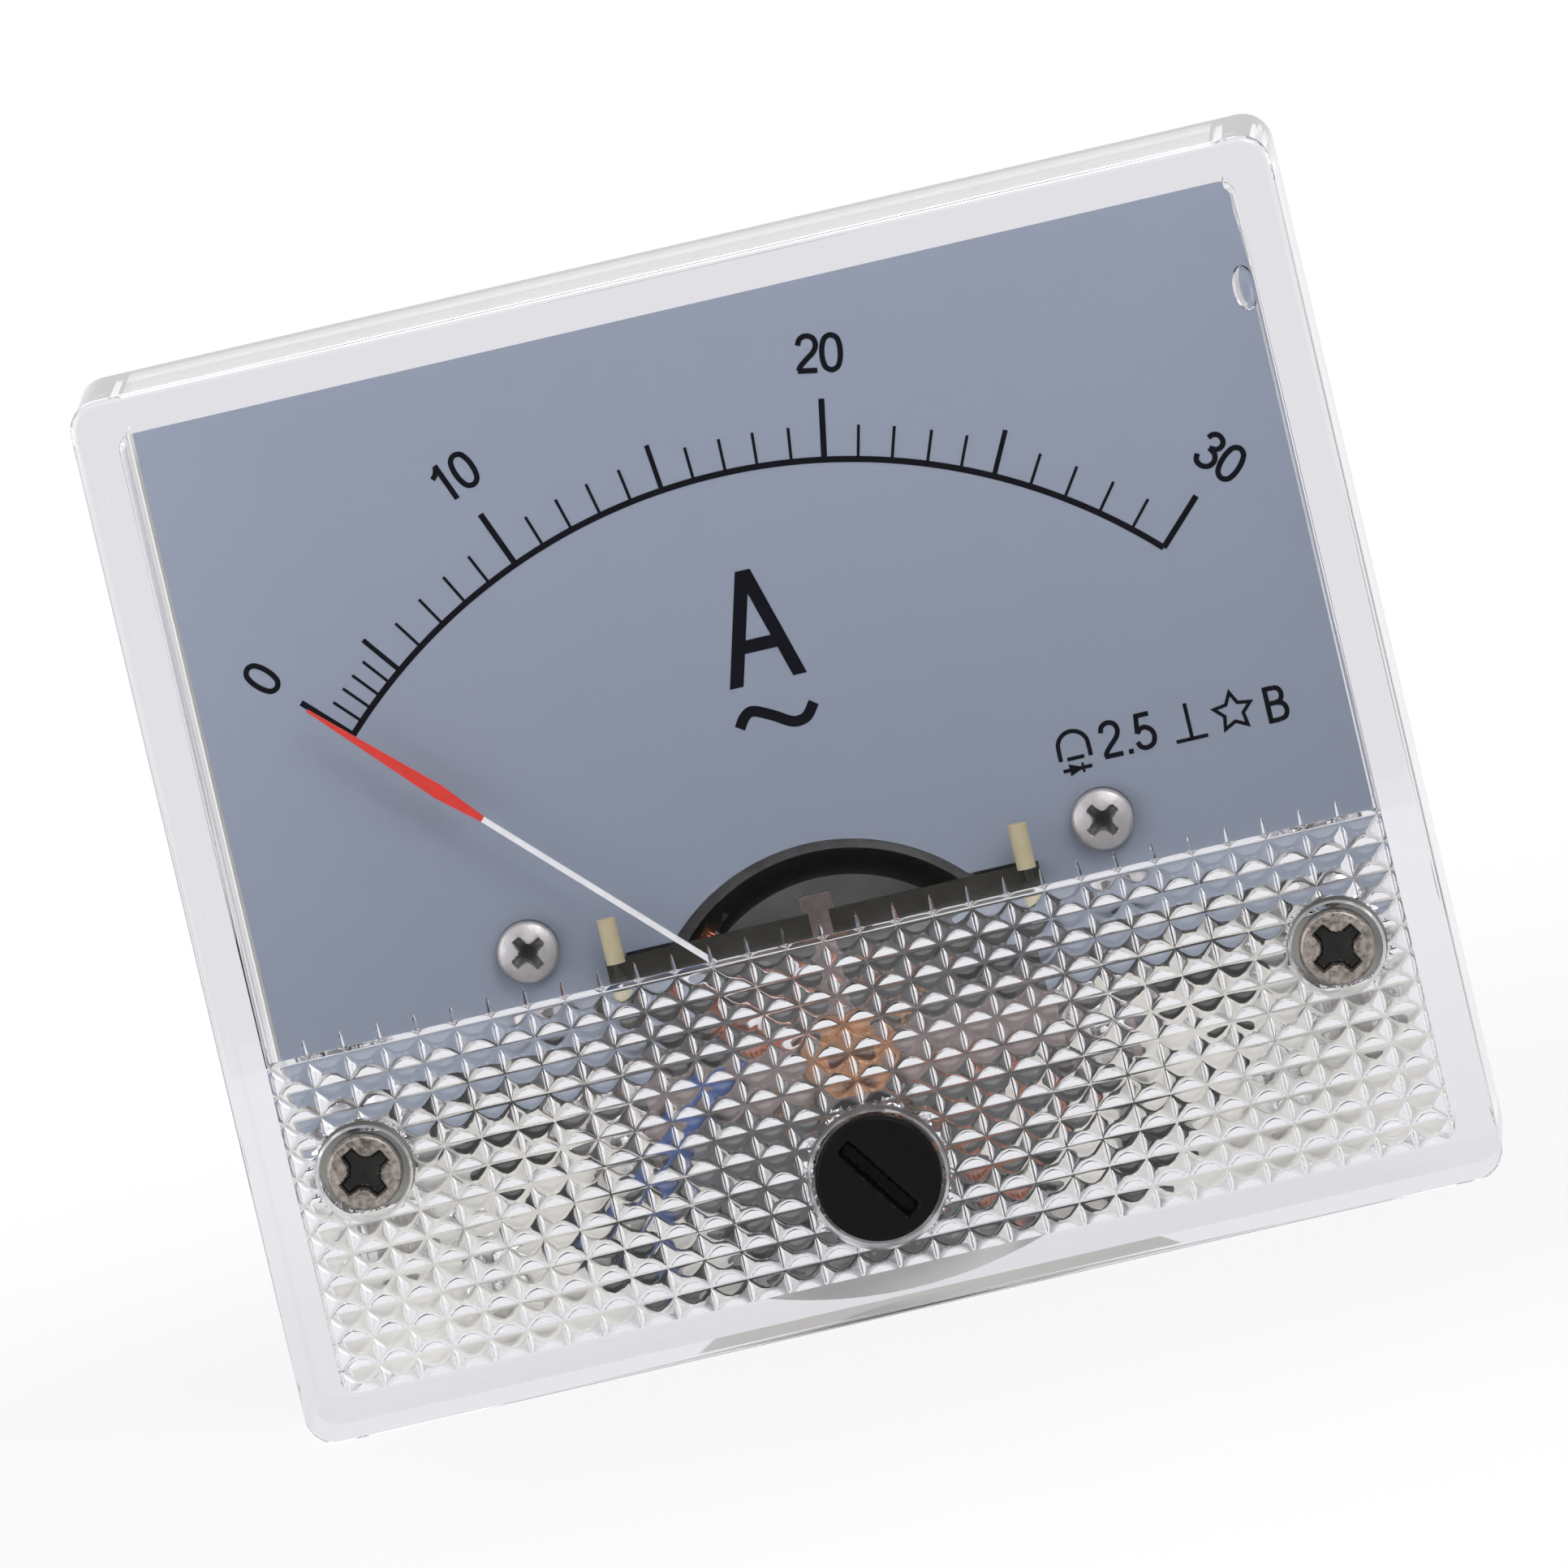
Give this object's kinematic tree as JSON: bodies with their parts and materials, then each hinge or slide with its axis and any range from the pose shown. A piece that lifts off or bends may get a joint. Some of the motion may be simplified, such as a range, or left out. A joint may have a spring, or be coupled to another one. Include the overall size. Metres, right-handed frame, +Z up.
{
  "type": "analog panel ammeter",
  "caption": "Moving-coil panel ammeter with a clear ribbed-pattern cover, a printed dial, a pointer, a slotted zero adjuster, a round barrel behind the panel and stud terminals.",
  "frame": {"origin": "where the barrel's axis meets the plane of the panel's front surface", "axes": "+Z up the dial, +Y into the panel along the barrel, so the face looks along -Y"},
  "size_m": [0.064, 0.0575, 0.056],
  "materials": {
    "clear_plastic": "clear, glossy",
    "cream_plastic": "moulded, satin",
    "dial_paint": "matt printed",
    "plated_steel": "plated",
    "dull_steel": "dull plated",
    "black_plastic": "satin",
    "nickel_silver": "satin",
    "dark_casting": "dark, as cast",
    "soft_iron": "dull",
    "magnet_alloy": "ground",
    "cast_alloy": "as cast",
    "yellow_brass": "turned",
    "red_jewel": "polished",
    "olive_steel": "passivated",
    "yellow_sleeve": "soft",
    "bare_aluminium": "bright",
    "copper_wire": "enamelled",
    "hard_steel": "polished",
    "red_pointer": "red and white paint",
    "bronze_strip": "bright",
    "bare_copper": "bright",
    "green_board": "laminate",
    "blue_lacquer": "lacquered",
    "blue_sheath": "sheathed",
    "red_sheath": "sheathed"
  },
  "bodies": {
    "housing": {"front_cover": "clear_plastic", "base": "cream_plastic", "dial_plate": "dial_paint", "dial_screws": "plated_steel", "mounting_screws": "dull_steel", "movement_frame": "dark_casting", "frame_screws": "plated_steel", "yoke_ring": "soft_iron", "core_magnet": "magnet_alloy", "magnet_holder": "cast_alloy", "front_bridge": "nickel_silver", "movement_screws": "plated_steel", "front_jewel_screw": "yellow_brass", "rear_jewel_screw": "yellow_brass", "front_locknut": "yellow_brass", "rear_locknut": "yellow_brass", "front_jewel": "red_jewel", "rear_jewel": "red_jewel", "stop_bracket": "olive_steel", "stop_sleeves": "yellow_sleeve", "rear_spring_anchor": "yellow_brass", "terminal_studs": "yellow_brass", "terminal_washers": "yellow_brass", "terminal_nuts": "yellow_brass", "terminal_spring_washers": "plated_steel", "primary_link": "bare_copper", "transformer_core": "soft_iron", "transformer_winding": "copper_wire", "rectifier_board": "green_board", "board_screws": "plated_steel", "diodes": "black_plastic", "resistor": "blue_lacquer", "winding_leads": "copper_wire", "blue_lead": "blue_sheath", "red_lead": "red_sheath"},
    "adjuster": {"zero_adjuster": "black_plastic"},
    "lever": {"zero_lever": "nickel_silver"},
    "moving_element": {"coil_former": "bare_aluminium", "coil_winding": "copper_wire", "front_staff": "hard_steel", "rear_staff": "hard_steel", "pointer": "red_pointer", "balance_cross": "yellow_brass", "balance_weights": "yellow_brass", "front_hairspring": "bronze_strip", "rear_hairspring": "bronze_strip"}
  },
  "joints": [
    {"name": "adjuster_turn", "type": "hinge", "parent": "housing", "child": "adjuster", "pos_m": [0, -0.011, -0.01735], "axis": [0, 1, 0], "range_deg": [-30, 30]},
    {"name": "lever_turn", "type": "hinge", "parent": "housing", "child": "lever", "pos_m": [0, -0.008, -0.011], "axis": [0, 1, 0], "range_deg": [-1.8, 1.8]},
    {"name": "pointer_turn", "type": "hinge", "parent": "lever", "child": "moving_element", "pos_m": [0, 0, -0.011], "axis": [0, 1, 0], "range_deg": [-0.3, 90.3], "stiffness_Nm_per_rad": 0.000015, "deforming": ["front_hairspring", "rear_hairspring"]}
  ],
  "couplings": [
    {"joint": "lever_turn", "follows": "adjuster_turn", "ratio": -0.058333}
  ]
}
